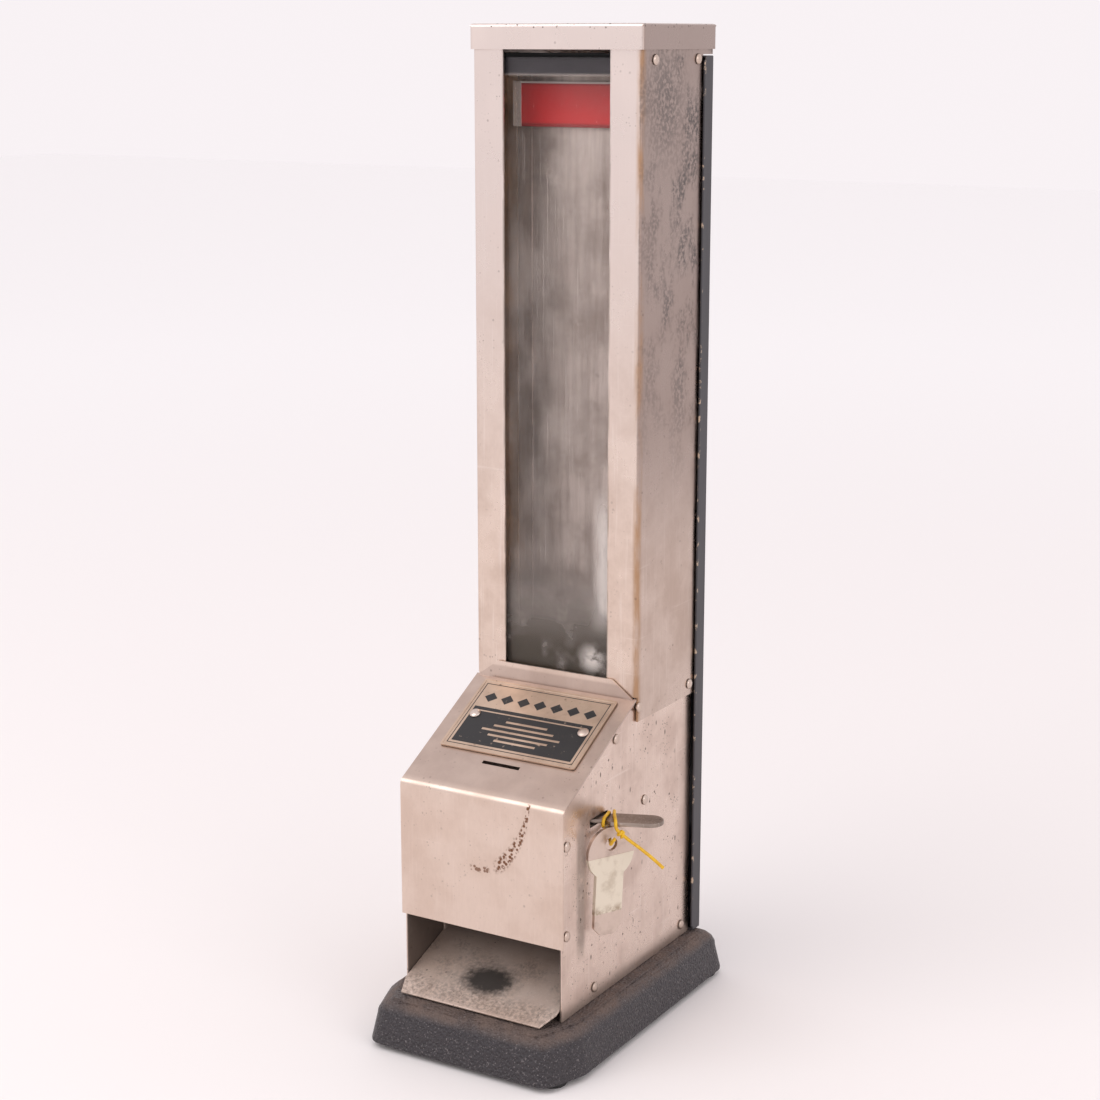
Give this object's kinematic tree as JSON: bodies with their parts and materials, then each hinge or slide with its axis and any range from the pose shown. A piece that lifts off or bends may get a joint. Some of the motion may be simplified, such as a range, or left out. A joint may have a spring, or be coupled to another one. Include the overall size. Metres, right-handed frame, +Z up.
{
  "type": "gum_stick_dispenser",
  "caption": "Counter-top coin vendor for wrapped gum sticks: windowed nickel tower, sloped coin hood, side pull lever with a hanging key, chute mouth and black cast base",
  "frame": {"origin": "centre of the footprint, on the surface that the feet stand on", "axes": "+Z up, -Y towards the chute mouth, +X towards the lever's side"},
  "size_m": [0.1315, 0.166, 0.4738],
  "materials": {
    "nickel": "worn satin nickel plate",
    "etched_nickel": "etched plate",
    "black_crackle": "black crackle paint",
    "black_enamel": "satin black enamel",
    "galvanised": "dull plated sheet",
    "steel": "bright steel",
    "brass": "worn brass",
    "glass": "clear, dusty",
    "red_card": "printed card and foil",
    "rubber": "matte",
    "yellow_tie": "glossy plastic cord"
  },
  "bodies": {
    "body": {"side_plate_right": "nickel", "side_plate_left": "nickel", "hood_panel": "nickel", "tower_shell": "nickel", "cap": "nickel", "chute_floor": "nickel", "side_rivet_right_1": "nickel", "side_rivet_right_2": "nickel", "side_rivet_right_3": "nickel", "side_rivet_right_4": "nickel", "side_rivet_right_5": "nickel", "side_rivet_right_6": "nickel", "side_rivet_right_7": "nickel", "side_rivet_right_8": "nickel", "side_rivet_right_9": "nickel", "side_rivet_right_10": "nickel", "side_rivet_left_1": "nickel", "side_rivet_left_2": "nickel", "side_rivet_left_3": "nickel", "side_rivet_left_4": "nickel", "side_rivet_left_5": "nickel", "side_rivet_left_6": "nickel", "side_rivet_left_7": "nickel", "side_rivet_left_8": "nickel", "side_rivet_left_9": "nickel", "side_rivet_left_10": "nickel", "instruction_plate": "etched_nickel", "base_casting": "black_crackle", "coin_chute": "galvanised", "guide_right": "galvanised", "guide_left": "galvanised", "magazine_back": "galvanised", "mechanism_plate": "galvanised", "runner_right": "galvanised", "runner_left": "galvanised", "plate_rivet_1": "steel", "plate_rivet_2": "steel", "pivot_post": "steel", "pivot_nut": "steel", "return_spring": "steel", "hinge_leaf_body": "steel", "hinge_pin": "steel", "window_glass": "glass", "display_card": "red_card", "foot_1": "rubber", "foot_2": "rubber", "foot_3": "rubber", "foot_4": "rubber"},
    "lever": {"lever": "nickel", "key_tie": "yellow_tie"},
    "gum_slide": {"gum_slide": "steel"},
    "key": {"key": "steel"},
    "door": {"back_door": "black_enamel", "hinge_leaf_door": "steel", "lock_barrel": "brass"},
    "lock": {"lock_plug": "brass", "lock_cam": "steel"},
    "cash_box": {"cash_box": "galvanised"}
  },
  "joints": [
    {"name": "lever_pull", "type": "hinge", "parent": "body", "child": "lever", "pos_m": [0.0301, -0.028, 0.1139], "axis": [0, 0, -1], "range_deg": [0, 40], "stiffness_Nm_per_rad": 0.06, "deforming": ["return_spring"]},
    {"name": "slide_push", "type": "slide", "parent": "body", "child": "gum_slide", "axis": [0, 1, 0], "range_m": [0, 0.01865]},
    {"name": "key_swing", "type": "hinge", "parent": "lever", "child": "key", "pos_m": [0.04289, -0.02257, 0.1129], "axis": [0, 0, -1], "range_deg": [-40, 0], "deforming": ["key_tie"]},
    {"name": "door_swing", "type": "hinge", "parent": "body", "child": "door", "pos_m": [-0.05489, 0.0633, 0.3], "axis": [0, 0, 1], "range_deg": [0, 110]},
    {"name": "lock_turn", "type": "hinge", "parent": "door", "child": "lock", "pos_m": [0.0206, 0.0743, 0.2598], "axis": [0, 1, 0], "range_deg": [0, 90]},
    {"name": "cash_box_pull", "type": "slide", "parent": "body", "child": "cash_box", "axis": [0, 1, 0], "range_m": [0, 0.05]}
  ],
  "couplings": [
    {"joint": "slide_push", "follows": "lever_pull", "m_per_rad": 0.026713},
    {"joint": "key_swing", "follows": "lever_pull", "ratio": -1}
  ]
}
